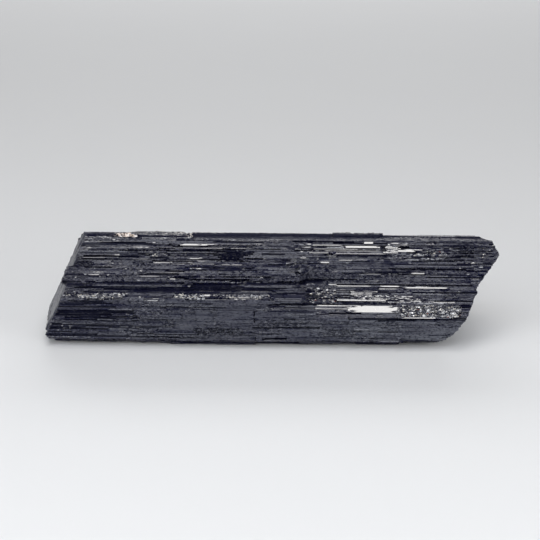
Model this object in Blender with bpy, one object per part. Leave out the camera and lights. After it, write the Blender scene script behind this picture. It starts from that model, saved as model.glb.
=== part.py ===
"""A black tourmaline (schorl) crystal, lying on one of its long faces.

The crystal is one solid. A core is lofted along +X between the two cross-sections that the crystal
has to the left and to the right of its middle. Flat-topped ledges, which run lengthwise as a
tourmaline's striations do, are joined to it. Grooves and pits are cut into it, the ends are broken
off along slanting planes, and shallow flakes are missing from the broken ends.

The crystal's long axis is +X, its front faces -Y, and +Z is up. The origin is on the surface that
it rests on, under the middle of its box. Sizes in the tables are in millimetres.
"""

import math
import random

import bmesh
import bpy
from mathutils import Matrix, Vector

MM = 0.001
SEED = 14

# The core reaches past both broken ends, and changes section over a stretch right of its middle.
CORE_HALF_LENGTH = 92.0
MORPH_START, MORPH_END = -1.0, 25.0

# Every mesh is moved by this much in x and y, so that the middle of the box is at the origin.
CENTRING = (1.42, -0.17)

# Corners of the two cross-sections, as (y, z), from the front edge of the resting face up the front,
# over the crest and down the back. Only the front differs: on the left a tall lower block ends in a
# narrow shelf under a recess, and on the right the shelf is a broad slope.
FOOT_CORNERS = {
    "rest_front": (-13.5, 0.0),
    "lower_foot": (-17.1, 3.0),
}
CREST_AND_BACK_CORNERS = {
    "upper_head": (-4.6, 32.7),
    "crest": (0.5, 32.9),
    "back_shoulder": (9.5, 28.6),
    "back_upper": (16.0, 20.6),
    "back_middle": (17.9, 12.4),
    "back_lower": (16.0, 4.3),
    "rest_back": (12.0, 0.0),
}
LEFT_SECTION = {
    **FOOT_CORNERS,
    "lower_head": (-17.5, 16.8),
    "shelf_back": (-15.1, 18.2),
    "recess_head": (-14.2, 21.3),
    **CREST_AND_BACK_CORNERS,
}
RIGHT_SECTION = {
    **FOOT_CORNERS,
    "lower_head": (-17.5, 10.8),
    "shelf_back": (-14.6, 14.8),
    "recess_head": (-12.4, 18.9),
    **CREST_AND_BACK_CORNERS,
}
CORNERS = list(LEFT_SECTION)
RESTING_SIDE = "rest_back"

# Striations: every side of the section is divided into lanes, and each lane into ledges end to end.
LANE_WIDTH = (1.1, 3.0)
LEDGE_LENGTH = (9.0, 46.0)
LEDGE_HEIGHT = (0.05, 0.8)
LEDGE_HALF_SHARE = (0.36, 0.485)
LEDGE_CHAMFER = (0.1, 0.3)
LEDGE_SLANT = 1.2
LEDGE_GAP = (0.3, 1.6)
LEDGE_SINK = (1.6, 2.8)
CREST_SIDES = ("upper_head", "crest")
CREST_LEDGE_HEIGHT = (0.05, 0.3)

# Ledges that stand out from the rest, as (side, share up that side, x from, x to, width, height).
MAIN_LEDGE_SINK = 3.1
MAIN_LEDGE_CHAMFER = 0.3
MAIN_LEDGES = {
    "foot_ledge": ("rest_front", 0.45, -90.0, -5.3, 3.4, 0.6),
    "foot_ledge_right": ("rest_front", 0.40, 21.0, 54.0, 3.0, 0.5),
    "lower_front_plate": ("lower_foot", 0.36, -90.0, -5.6, 8.6, 0.45),
    "lower_front_head": ("lower_foot", 0.80, -58.0, -7.4, 3.0, 0.6),
    "lower_front_block": ("lower_foot", 0.42, 24.0, 58.0, 4.2, 0.5),
    "shelf_lip_left": ("lower_head", 0.30, -66.0, -46.0, 1.1, 0.5),
    "shelf_lip_right": ("lower_head", 0.30, -33.0, -4.0, 1.1, 0.6),
    "slope_plate": ("lower_head", 0.50, 22.5, 42.0, 2.6, 0.5),
    "slope_rib": ("shelf_back", 0.60, 20.0, 60.0, 1.4, 0.7),
    "upper_left_plate": ("recess_head", 0.72, -70.0, -34.0, 3.6, 0.5),
    "upper_left_rib": ("recess_head", 0.40, -50.0, -19.0, 1.6, 0.7),
    "upper_right_plate": ("recess_head", 0.62, 21.0, 36.0, 3.0, 0.7),
    "upper_right_rib": ("recess_head", 0.28, 19.0, 64.0, 1.8, 0.8),
    "crest_rib_left": ("upper_head", 0.60, -72.0, -34.0, 2.8, 0.8),
    "crest_rib_middle": ("upper_head", 0.62, -27.0, 9.5, 2.8, 0.7),
    "crest_rib_right": ("upper_head", 0.60, 9.8, 20.0, 2.6, 0.5),
    "crest_knob_left": ("upper_head", 0.86, 20.4, 26.3, 2.2, 1.1),
    "crest_knob_right": ("upper_head", 0.88, 27.2, 34.8, 2.4, 0.9),
    "back_rib": ("back_shoulder", 0.50, -58.0, 31.0, 3.2, 1.0),
    "back_plate": ("back_upper", 0.50, -20.0, 66.0, 3.8, 0.8),
    "back_foot_rib": ("back_lower", 0.45, -62.0, 12.0, 2.4, 0.7),
}

# Grooves and pits, as (side, share up that side, x from, x to, width, depth).
GROOVE_TAPER = 0.3
GROOVE_CLEARANCE = 4.0
GROOVES = {
    "recess_groove": ("shelf_back", 0.55, -52.0, -1.5, 1.4, 1.1),
    "upper_left_groove": ("recess_head", 0.60, -62.0, -44.0, 0.8, 1.3),
    "upper_left_low_groove": ("recess_head", 0.16, -46.0, -30.0, 0.8, 1.1),
    "upper_middle_pit": ("recess_head", 0.60, -18.0, -8.5, 3.4, 1.9),
    "upper_square_pit": ("recess_head", 0.30, -16.2, -9.5, 2.6, 1.2),
    "upper_small_pit": ("recess_head", 0.82, -33.6, -32.2, 1.2, 1.2),
    "upper_right_groove": ("recess_head", 0.06, 19.5, 62.0, 0.8, 1.3),
    "upper_right_slot": ("recess_head", 0.80, 37.0, 62.0, 0.9, 1.3),
    "slope_groove": ("shelf_back", 0.12, 22.0, 58.0, 0.7, 1.0),
    "lower_left_groove": ("lower_foot", 0.56, -72.0, -44.0, 0.7, 1.1),
    "lower_left_low_groove": ("lower_foot", 0.30, -72.0, -50.0, 0.6, 0.9),
    "lower_right_groove": ("lower_foot", 0.96, 33.5, 46.0, 0.8, 1.2),
    "lower_right_pits": ("lower_foot", 0.14, 31.5, 38.5, 1.0, 1.0),
    "break_in_the_plate": ("lower_foot", 0.58, -6.6, -4.6, 4.6, 1.0),
    "foot_notch": ("rest_front", 0.40, -5.2, 20.8, 3.2, 0.3),
    "back_groove_high": ("back_shoulder", 0.12, -40.0, 44.0, 1.1, 1.3),
    "back_groove_middle": ("back_upper", 0.08, -66.0, -14.0, 1.0, 1.2),
    "back_groove_low": ("back_middle", 0.55, -30.0, 58.0, 1.2, 1.3),
    "back_pit": ("back_upper", 0.60, -48.0, -36.0, 3.6, 1.4),
    "underside_groove_front": ("rest_back", 0.22, -70.0, 24.0, 1.3, 0.9),
    "underside_groove_back": ("rest_back", 0.74, -34.0, 60.0, 1.6, 1.1),
}

# The broken ends, each as (point on the plane, outward normal, how far the plane goes). What lies past
# it is removed. A plane goes both ways from its point, or only up or down to it: on the right the
# upper and the lower half are broken along different planes, which meet in a notch.
BOTH_WAYS, UP, DOWN = 0, 1, -1
END_PLANES = {
    "left_break": ((-65.5, -15.0, 19.0), (-1.0, -0.09, 0.49), BOTH_WAYS),
    "left_toe": ((-72.3, -17.4, 4.6), (-1.0, -0.25, -0.55), BOTH_WAYS),
    "left_back_chip": ((-66.0, 14.0, 20.0), (-1.0, 0.75, 0.5), BOTH_WAYS),
    "right_upper_break": ((65.9, -11.5, 18.6), (1.0, 0.10, -0.86), UP),
    "right_tip": ((74.2, -5.0, 29.0), (1.0, 0.10, 0.04), BOTH_WAYS),
    "right_top_corner": ((72.3, -4.4, 31.4), (0.72, -0.05, 0.69), BOTH_WAYS),
    "right_lower_break": ((66.7, -12.0, 18.9), (1.0, 0.12, -0.52), DOWN),
    "right_toe": ((59.8, -17.7, 6.2), (0.80, -0.18, -0.60), BOTH_WAYS),
    "right_under_chip": ((54.5, -15.0, 1.0), (0.22, -0.10, -0.95), BOTH_WAYS),
    "right_back_chip": ((66.0, 13.0, 20.0), (0.80, 0.60, -0.10), BOTH_WAYS),
}
END_CUTTER_SIZE = 260.0

# Shallow flakes missing from the broken ends, as {plane: (how many, (y, z) they lie around, reach)}.
FLAKES = {
    "left_break": (12, (1.0, 17.0), 14.0),
    "right_upper_break": (5, (3.0, 27.0), 6.0),
    "right_lower_break": (7, (2.0, 12.0), 9.0),
}
FLAKE_HALF_LENGTH = (3.5, 8.0)
FLAKE_HALF_WIDTH = (2.5, 5.5)
FLAKE_DEPTH = (0.2, 0.9)
FLAKE_HALF_HEIGHT = 6.0
FLAKE_TILT = 0.05

TOURMALINE_COLOUR = (0.012, 0.012, 0.018, 1.0)
TOURMALINE_ROUGHNESS = 0.3


def clear_scene():
    for obj in list(bpy.data.objects):
        bpy.data.objects.remove(obj, do_unlink=True)


def new_collection(name):
    collection = bpy.data.collections.new(name)
    bpy.context.scene.collection.children.link(collection)
    return collection


def corner_at(name, x):
    """A corner of the section at station x, on the straight run from the left section to the right."""
    share = min(1.0, max(0.0, (x - MORPH_START) / (MORPH_END - MORPH_START)))
    return Vector(LEFT_SECTION[name]).lerp(Vector(RIGHT_SECTION[name]), share)


def side_at(name, x):
    """(start, direction, outward normal, width) of the side that begins at a corner, at station x."""
    following = CORNERS[(CORNERS.index(name) + 1) % len(CORNERS)]
    start = corner_at(name, x)
    run = corner_at(following, x) - start
    along = run.normalized()
    return start, along, Vector((-along.y, along.x)), run.length


def changes_in_the_middle(name):
    following = CORNERS[(CORNERS.index(name) + 1) % len(CORNERS)]
    return any(LEFT_SECTION[corner] != RIGHT_SECTION[corner] for corner in (name, following))


def object_from(bm, name, collection, cutter=False):
    """A new object with this mesh, centred and scaled from millimetres. A cutter isn't rendered."""
    bmesh.ops.triangulate(bm, faces=bm.faces)
    bmesh.ops.translate(bm, vec=(*CENTRING, 0.0), verts=bm.verts)
    bmesh.ops.scale(bm, vec=(MM, MM, MM), verts=bm.verts)
    bmesh.ops.recalc_face_normals(bm, faces=bm.faces)
    mesh = bpy.data.meshes.new(name)
    bm.to_mesh(mesh)
    bm.free()
    obj = bpy.data.objects.new(name, mesh)
    collection.objects.link(obj)
    if cutter:
        obj.hide_render = True
        obj.display_type = "WIRE"
    return obj


def make_core(collection):
    """The lofted body, a ring of corners at each station, bridged and closed by flat ends."""
    stations = (-CORE_HALF_LENGTH, MORPH_START, MORPH_END, CORE_HALF_LENGTH)
    bm = bmesh.new()
    rings = []
    for x in stations:
        ring = [bm.verts.new((x, *corner_at(name, x))) for name in CORNERS]
        rings.append(ring)
    for ring, following in zip(rings, rings[1:]):
        for i, vert in enumerate(ring):
            after = (i + 1) % len(ring)
            bm.faces.new((vert, ring[after], following[after], following[i]))
    bm.faces.new(rings[0])
    bm.faces.new(rings[-1])
    return object_from(bm, "tourmaline_crystal", collection)


def add_bar(bm, side, share, x_from, x_to, half_widths, levels, slant=0.0):
    """A lengthwise bar on a side of the core, from a low to a high level above its surface.

    half_widths are those at the low and the high level. slant leans the bar's broken ends.
    """
    made = bmesh.ops.create_cube(bm, size=2.0)["verts"]
    for vert in made:
        high = vert.co.z > 0
        end = x_to if vert.co.x > 0 else x_from
        start, along, normal, width = side_at(side, end)
        centre = start + along * (share * width)
        across = centre + along * math.copysign(half_widths[high], vert.co.y) + normal * levels[high]
        vert.co = (end + math.copysign(slant, vert.co.y), *across)


def lane_shares(rng, name):
    """The (share up the side, width share) of each lane of a side: random widths that fill it."""
    total = side_at(name, 0.0)[3]
    widths = []
    while sum(widths) < total:
        widths.append(rng.uniform(*LANE_WIDTH))
    filled = sum(widths)
    starts = [sum(widths[:i]) for i in range(len(widths))]
    return [((start + width / 2) / filled, width / filled) for start, width in zip(starts, widths)]


def lane_stretches(rng, name):
    """The (x from, x to) of a lane's ledges. Where a side starts and stops changing, a ledge ends."""
    crossing = (MORPH_START, MORPH_END) if changes_in_the_middle(name) else ()
    stretches = []
    x = -CORE_HALF_LENGTH
    while x < CORE_HALF_LENGTH:
        following = x + rng.uniform(*LEDGE_LENGTH)
        following = min([following, *(stop for stop in crossing if stop > x)])
        x_from = x - rng.uniform(*LEDGE_GAP) if x in crossing else x
        stretches.append((x_from, following - rng.uniform(*LEDGE_GAP)))
        x = following
    return stretches


def make_striations(collection):
    """One mesh of all the ledges: the lanes of every side, and the main ledges."""
    rng = random.Random(SEED)
    bm = bmesh.new()
    for name in CORNERS:
        if name == RESTING_SIDE:
            continue
        heights = CREST_LEDGE_HEIGHT if name in CREST_SIDES else LEDGE_HEIGHT
        for share, width_share in lane_shares(rng, name):
            for x_from, x_to in lane_stretches(rng, name):
                width = side_at(name, (x_from + x_to) / 2)[3] * width_share
                half = width * rng.uniform(*LEDGE_HALF_SHARE)
                chamfered = max(half - rng.uniform(*LEDGE_CHAMFER), half * 0.5)
                levels = (-rng.uniform(*LEDGE_SINK), rng.uniform(*heights))
                slant = rng.uniform(-LEDGE_SLANT, LEDGE_SLANT)
                add_bar(bm, name, share, x_from, x_to, (half, chamfered), levels, slant)
    for side, share, x_from, x_to, width, height in MAIN_LEDGES.values():
        half_widths = (width / 2, width / 2 - MAIN_LEDGE_CHAMFER)
        levels = (-MAIN_LEDGE_SINK, height)
        add_bar(bm, side, share, x_from, x_to, half_widths, levels, MAIN_LEDGE_CHAMFER)
    return object_from(bm, "ledges", collection, cutter=True)


def make_grooves(collection):
    """One mesh of all the grooves and pits, each narrower at its bottom."""
    bm = bmesh.new()
    for side, share, x_from, x_to, width, depth in GROOVES.values():
        half_widths = (width / 2 * (1 - GROOVE_TAPER), width / 2 * (1 + GROOVE_TAPER))
        add_bar(bm, side, share, x_from, x_to, half_widths, (-depth, GROOVE_CLEARANCE), GROOVE_TAPER)
    return object_from(bm, "grooves", collection, cutter=True)


def on_plane(point, normal):
    """The matrix that puts the XY plane on this plane, with +Z along its normal."""
    turn = Vector(normal).to_track_quat("Z", "Y").to_matrix().to_4x4()
    return Matrix.Translation(point) @ turn


def make_end_cutter(name, collection, point, normal, goes=BOTH_WAYS):
    """A large cube that stands on a plane of a broken end, on the side that is removed."""
    bm = bmesh.new()
    bmesh.ops.create_cube(bm, size=END_CUTTER_SIZE)
    lift = Matrix.Translation((0, goes * END_CUTTER_SIZE / 2, END_CUTTER_SIZE / 2))
    bmesh.ops.transform(bm, matrix=on_plane(point, normal) @ lift, verts=bm.verts)
    return object_from(bm, name, collection, cutter=True)


def beside_plane(point, normal, y, z):
    """The point of a plane at this y and z."""
    return Vector((point[0] + (normal[1] * (point[1] - y) + normal[2] * (point[2] - z)) / normal[0], y, z))


def make_flakes(collection):
    """One mesh of the flakes missing from the broken ends, slightly tilted blocks along each plane."""
    rng = random.Random(SEED)
    bm = bmesh.new()
    for name, (count, middle, reach) in FLAKES.items():
        point, normal, _ = END_PLANES[name]
        for _flake in range(count):
            y, z = (value + rng.uniform(-reach, reach) for value in middle)
            half_sizes = (rng.uniform(*FLAKE_HALF_LENGTH), rng.uniform(*FLAKE_HALF_WIDTH), FLAKE_HALF_HEIGHT)
            lift = Matrix.Translation((0, 0, FLAKE_HALF_HEIGHT - rng.uniform(*FLAKE_DEPTH)))
            turn = Matrix.Rotation(rng.uniform(0, math.pi), 4, "Z")
            tilt = Matrix.Rotation(rng.uniform(-FLAKE_TILT, FLAKE_TILT), 4, "X")
            placed = on_plane(beside_plane(point, normal, y, z), normal) @ lift @ turn @ tilt
            made = bmesh.ops.create_cube(bm, size=2.0)["verts"]
            bmesh.ops.scale(bm, vec=half_sizes, verts=made)
            bmesh.ops.transform(bm, matrix=placed, verts=made)
    return object_from(bm, "flakes", collection, cutter=True)


def make_underside_cutter(collection):
    """What hangs below the resting plane, such as the foot of a ledge, is ground off flat."""
    return make_end_cutter("underside", collection, (0, 0, 0), (0, 0, -1))


def add_boolean(target, other, operation):
    modifier = target.modifiers.new(f"{operation.lower()}_{other.name}", "BOOLEAN")
    modifier.object = other
    modifier.operation = operation
    modifier.solver = "EXACT"
    modifier.use_self = other.name in ("ledges", "grooves", "flakes")


def black_tourmaline():
    material = bpy.data.materials.new("black_tourmaline")
    material.use_nodes = True
    shader = material.node_tree.nodes["Principled BSDF"]
    shader.inputs["Base Color"].default_value = TOURMALINE_COLOUR
    shader.inputs["Roughness"].default_value = TOURMALINE_ROUGHNESS
    shader.inputs["Metallic"].default_value = 0.0
    return material


def main():
    clear_scene()
    crystal_parts = new_collection("tourmaline_crystal")
    cutters = new_collection("cutters")
    crystal = make_core(crystal_parts)
    add_boolean(crystal, make_striations(cutters), "UNION")
    add_boolean(crystal, make_grooves(cutters), "DIFFERENCE")
    for name, plane in END_PLANES.items():
        add_boolean(crystal, make_end_cutter(name, cutters, *plane), "DIFFERENCE")
    add_boolean(crystal, make_flakes(cutters), "DIFFERENCE")
    add_boolean(crystal, make_underside_cutter(cutters), "DIFFERENCE")
    crystal.data.materials.append(black_tourmaline())


main()
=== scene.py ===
"""A black tourmaline crystal that lies on one of its long sides: its looks.

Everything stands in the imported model's frame: the long axis is +X, the front faces -Y, +Z is up.
"""

import math
from typing import NamedTuple

import bpy
import numpy as np
from mathutils import Matrix, Vector
from mathutils.geometry import delaunay_2d_cdt


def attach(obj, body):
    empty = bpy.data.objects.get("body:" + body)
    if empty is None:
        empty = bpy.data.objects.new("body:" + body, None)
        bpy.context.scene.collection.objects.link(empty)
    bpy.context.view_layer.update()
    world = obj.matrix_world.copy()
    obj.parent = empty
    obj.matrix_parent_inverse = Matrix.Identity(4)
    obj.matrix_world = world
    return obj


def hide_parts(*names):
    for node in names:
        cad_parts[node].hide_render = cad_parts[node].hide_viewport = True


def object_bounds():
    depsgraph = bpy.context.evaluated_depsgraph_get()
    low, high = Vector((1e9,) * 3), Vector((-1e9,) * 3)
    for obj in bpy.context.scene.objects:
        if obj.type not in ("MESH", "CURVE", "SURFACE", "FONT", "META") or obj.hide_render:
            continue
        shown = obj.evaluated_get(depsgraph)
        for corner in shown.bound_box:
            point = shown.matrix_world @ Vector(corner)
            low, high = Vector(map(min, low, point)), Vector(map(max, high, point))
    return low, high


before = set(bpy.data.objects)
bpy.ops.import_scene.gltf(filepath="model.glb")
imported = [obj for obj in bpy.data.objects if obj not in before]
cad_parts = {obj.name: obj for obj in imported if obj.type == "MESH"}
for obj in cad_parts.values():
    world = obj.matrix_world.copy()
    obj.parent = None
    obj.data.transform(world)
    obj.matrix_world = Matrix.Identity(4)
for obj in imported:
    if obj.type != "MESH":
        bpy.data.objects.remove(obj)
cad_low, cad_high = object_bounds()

# ----------------------------------------------------------------------
# The crystal. It is one prism of schorl, the black tourmaline, which grew in one piece. Its sides are
# striated along its length, because it grew as many thin parallel strips that end at odd places, and
# both its ends are broken off. Growth and breakage left a shelf along the front.

MM = 0.001

# The crystal's own frame, in millimetres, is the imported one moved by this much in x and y.
CENTRING = (1.42, -0.17)

# Corners of the cross-section as (y, z), from the front edge of the resting side up the front, over
# the crest and down the back, left of the middle and right of it. Between, the section changes.
SECTION_LEFT = {
    "rest_front": (-13.4, 0.5),
    "lower_foot": (-17.1, 3.0),
    "lower_head": (-17.5, 16.8),
    "shelf_back": (-15.1, 18.2),
    "recess_head": (-14.2, 21.3),
    "upper_head": (-4.6, 32.7),
    "crest": (0.5, 32.9),
    "back_shoulder": (9.5, 28.6),
    "back_upper": (16.0, 20.6),
    "back_middle": (17.9, 12.4),
    "back_lower": (16.0, 4.3),
    "rest_back": (12.0, 0.0),
}
SECTION_RIGHT = {
    **SECTION_LEFT,
    "rest_front": (-12.0, 0.6),
    "lower_head": (-17.5, 10.8),
    "shelf_back": (-14.6, 14.8),
    "recess_head": (-12.4, 18.9),
}
SECTIONS = (SECTION_LEFT, SECTION_RIGHT)
CORNERS = list(SECTION_LEFT)
CONCAVE_CORNER = "shelf_back"
FRONT_FROM, FRONT_TO = "lower_foot", "upper_head"

# Each strip of the front changes from the left section to the right one somewhere between these two
# places, over a length of its own. Its share between the shortest and longest is a random draw, folded
# by a sine. The foot changes at one place, in a step.
CHANGE_FROM, CHANGE_TO = -1.0, 25.0
CHANGE_MIDDLE = (CHANGE_FROM + CHANGE_TO) / 2
CHANGE_LENGTH, CHANGE_SPREAD, CHANGE_FOLDS = (0.8, 3.0), 4.5, 3
FOOT_STEP_AT, FOOT_STEP_LENGTH = -4.4, 0.2

# The resting side is flat, but for this last share of it, the lip along its front edge.
RESTING_SIDE, LIP_SHARE = "rest_back", 0.12
RESTING_PLAY = 0.15

# Width of the growth strips, in millimetres: on the front, and on each of the other sides.
FRONT_STRIP_WIDTH = 0.44
STRIP_WIDTH = {
    "upper_head": 0.50,
    "crest": 0.80,
    "back_shoulder": 0.90,
    "back_upper": 0.90,
    "back_middle": 0.90,
    "back_lower": 0.90,
    "rest_back": 1.60,
    "rest_front": 0.46,
}
STRIP_WIDTH_SPREAD = 0.35

# Columns of points along a strip, the half width of the steep wall between two strips, the gap that
# leaves a bevel at the section's corners, and the most of its width that a strip gives to a gap.
COLUMNS = 262
WALL, BEVEL, MOST_GAP = 0.04, 0.30, 0.35

# The strips stand at three kinds of levels, which add up: broad plates, ribs and single strips, each
# as (width across the strips, shortest and longest stretch, how far the levels spread). How chipped
# the edges are goes by patches, and where the strips change section by neighbours, in the same form.
PLATES = (4.4, (18.0, 60.0), 0.30)
RIBS = (1.5, (8.0, 40.0), 0.20)
SINGLES = (0.0, (3.0, 24.0), 0.09)
PATCHES = (2.2, (3.0, 15.0), 1.0)
CHANGES = (3.0, (60.0, 80.0), 1.0)
GROUP_WIDTH_SPREAD = (0.6, 1.4)
BREAK_JITTER = 0.6
REACH = 95.0

# A slow wave runs along each strip, as (length, size), and the chipped edges are this much uneven.
WAVE, WAVE_REACH = (7.0, 0.03), 100.0
CHIP_SIZE, CHIP_GAIN, CHIP_CONTRAST = 0.035, 1.6, 1.5

# How a strip tilts changes from stretch to stretch. Some of the stretches tilt several times as far.
TILT_STRETCHES, STEEP_SHARE, STEEP_SPREAD = (3.0, 20.0), 0.24, 3.0
ROUGH_SPREAD, AREA_RAGGED = 0.05, 6.0
MOST_TILT, STEEPEST_LOW = 60.0, 38.0

# Facings are in degrees above level: 18 mirrors nothing bright to the camera, 25 to 34 the front
# panel, 37 to 44 the ceiling panel and 51 to 58 the overhead light.

# Grooves: stretches of a strip that lie deep. On the front they face so that they mirror nothing.
GROOVE_STRETCHES, GROOVE_SHARE, GROOVE_DEPTH = (3.0, 26.0), 0.23, (0.35, 1.1)
GROOVE_FACING, GROOVE_TURN, GROOVE_SIDES = 18.0, 2.0, (-30.0, 62.0)
# Dark grooves also get painted shade: up to this much, drawn at random with this contrast.
GROOVE_SHADE, SHADE_CONTRAST = 0.93, 1.5
DARK_FACING, DARK_GRAIN = (12.0, 24.0), 0.3
BRIGHT_FACING, BRIGHT_GRAIN = 35.0, 0.5

# Fresh facets that mirror the overhead light are glossy and nearly smooth, and turn away at the ends.
GLINT, GLINT_GRAIN, END_TURN = 55.0, 0.05, 7.0
FRESH_WITHIN, FRESH_GLOSS = 5.0, 0.35

# Flecks: short fresh facets anywhere on the upper sides of the front.
FLECKS, FLECK_SHARE, FLECK_GRAIN = (0.6, 4.0), 0.065, 0.3
FLECK_FACING, FLECK_GLOSS, FLECK_SIDES = (50.0, 56.0), (0.2, 0.8), (25.0, 62.0)

# The broken ends, each as (point on the plane, outward normal), and the height where the two main
# breaks of the right end meet.
LEFT_PLANES = {
    "left_break": ((-70.9, -15.0, 8.0), (-1.0, -0.09, 0.45)),
    "left_toe": ((-73.3, -17.4, 4.6), (-1.0, -0.25, -0.55)),
    "left_foot_chip": ((-75.2, -17.2, 5.4), (-1.0, -0.2, -1.41)),
    "left_back_chip": ((-66.0, 14.0, 20.0), (-1.0, 0.75, 0.5)),
}
RIGHT_PLANES = {
    "right_tip": ((74.2, -5.0, 29.0), (1.0, 0.10, 0.04)),
    "right_top_corner": ((73.6, -4.6, 32.7), (1.0, 1.3, 3.0)),
    "right_top_side": ((72.1, -4.6, 32.7), (1.0, 0.0, 0.72)),
    "right_toe": ((60.8, -17.3, 6.8), (1.0, -0.15, -0.60)),
    "right_under_chip": ((54.8, -17.2, 2.4), (1.0, -0.15, -1.59)),
    "right_back_chip": ((66.0, 13.0, 20.0), (0.80, 0.60, -0.10)),
}
RIGHT_UPPER_BREAK = ((65.9, -11.5, 18.6), (1.0, 0.10, -0.86))
RIGHT_LOWER_BREAK = ((67.1, -12.0, 18.9), (1.0, 0.12, -0.52))
RIGHT_BREAKS_MEET = 18.75

# Small facets of the broken faces, as (how many, slope, depth), and the area that they are spread on.
LEFT_FACETS, RIGHT_FACETS = (70, 0.06, 0.35), (110, 0.06, 0.25)
FACETS_FROM, FACETS_TO = (-18.0, 0.0), (18.0, 34.0)

# The broken faces: the spacing of their points, how uneven it is, how far they stay from the rim, how
# they are joined by triangles, and how far each face lies inside the strips' ends.
CAP_SPACING, CAP_JITTER, CAP_RIM = 0.85, 0.3, 0.5
TRIANGLES_INSIDE, MERGE_DISTANCE = 1, 1e-7
LEFT_INSET, RIGHT_INSET = 0.0, 1.0

# How far the strips' ends stand back, left and right, and the share of them that does.
END_RAGGED, RAGGED_SHARE = (0.4, 0.12), 0.6

SEED = 31
rng = np.random.default_rng(SEED)


def at(side, share):
    """A place round the section as one number: the side's index and the share up that side."""
    return CORNERS.index(side) + share


# The strips between these places jut out past the broken ends, by this much.
LEFT_JUT, LEFT_JUT_PLACES = 2.2, (at("shelf_back", 0.9), at("recess_head", 0.36))
RIGHT_JUT, RIGHT_JUT_PLACES = 0.35, (at("shelf_back", 0.75), at("recess_head", 0.04))

# A mark between these places, whose middle is further left of the change of section than this, keeps
# to the part of a strip that has not changed yet.
CHANGING, LEFT_OF_CHANGE = (at("lower_head", 0.0), at("recess_head", 0.5)), 4.0


class Area(NamedTuple):
    """A broad area: its place, the mean and spread of its strips' tilt, and what its surface is like."""
    low: float
    high: float
    x_from: float
    x_to: float
    tilt: float
    spread: float
    rough: float
    chips: float
    relief: float = 1.0
    wear: float = 0.0
    grooved: float = 1.0


class Mark(NamedTuple):
    """A stretch of the surface that stands out. Where a value is None, it is as around the mark.

    Level is a height in millimetres and facing is in degrees. Ragged is how uneven the ends are, spread
    how much the strips differ in facing, and the last field how much painted shade lies on it, as in a
    crevice. Gloss goes by the facing where it is None.
    """
    low: float
    high: float
    x_from: float
    x_to: float
    level: float = None
    facing: float = None
    rough: float = None
    chips: float = None
    pale: float = None
    warm: float = None
    flat: bool = False
    ragged: float = 0.25
    gloss: float = None
    spread: float = 0.0
    painted_shade: float = 0.0


def streak(low, high, x_from, x_to, gloss, facing=GLINT, level=0.1, rough=0.16, chips=0.0, **others):
    """A mark that is one flat and glossy facet across its strips."""
    return Mark(low, high, x_from, x_to, level, facing, rough, chips, flat=True, gloss=gloss, **others)


def on(side, **placed):
    """Areas or marks placed by shares of one side. A share under 0 or over 1 reaches past it."""
    return [one._replace(low=at(side, one.low), high=at(side, one.high)) for one in placed.values()]


# Where areas overlap, the later one holds, and so it is with marks.
AREAS = [Area(0, 12, -110, 110, 0, 8, 0.22, 0.8)] + on(
    "lower_foot",
    left_foot=Area(0, 0.46, -110, -45, 6, 14, 0.18, 0.6, 1, 0.2),
    left_dark=Area(0.46, 0.74, -110, -48, 17, 3.5, 0.18, 0.5),
    left_head=Area(0.74, 1, -110, -45, 10, 11, 0.20, 0.6, 1, 0.1),
    middle_worn=Area(0, 1, -45, 14, 2, 10, 0.32, 1.2, 0.9, 0.36, 0.4),
    right_worn=Area(0, 1, 14, 110, 1, 10, 0.30, 1.2, 0.9, 0.60, 0.35),
) + on(
    "shelf_back",
    recess=Area(0, 1, -60, 7, 1, 3, 0.22, 0.4, 0.6),
) + on(
    "recess_head",
    left_low=Area(0, 0.5, -110, -45, -5, 14, 0.18, 1.6),
    middle=Area(0, 0.7, -45, 8, -3, 12, 0.22, 1.6),
    middle_overhung=Area(0.2, 0.52, -25, 10, -19, 6, 0.20, 1.4),
    high_plain=Area(0.60, 1, -9, 16, 1, 9, 0.24, 0.9, 0.8, 0.12, 0.35),
    left_plate=Area(0.67, 0.96, -72, -44, 1, 7, 0.26, 0.8, 0.6, 0.15),
    left_brow=Area(0.78, 1.3, -44, -28, 2, 8, 0.24, 1.2, 0.9, 0.1, 0.35),
    low_plain=Area(0, 0.38, -1, 34, 0, 9, 0.24, 1.4, 0.9, 0.1, 0.3),
    right_low=Area(0.15, 0.7, 28, 70, 0, 12, 0.20, 1.3),
    right_chipped=Area(0.55, 1, 48, 110, 2, 12, 0.22, 2),
)

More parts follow.
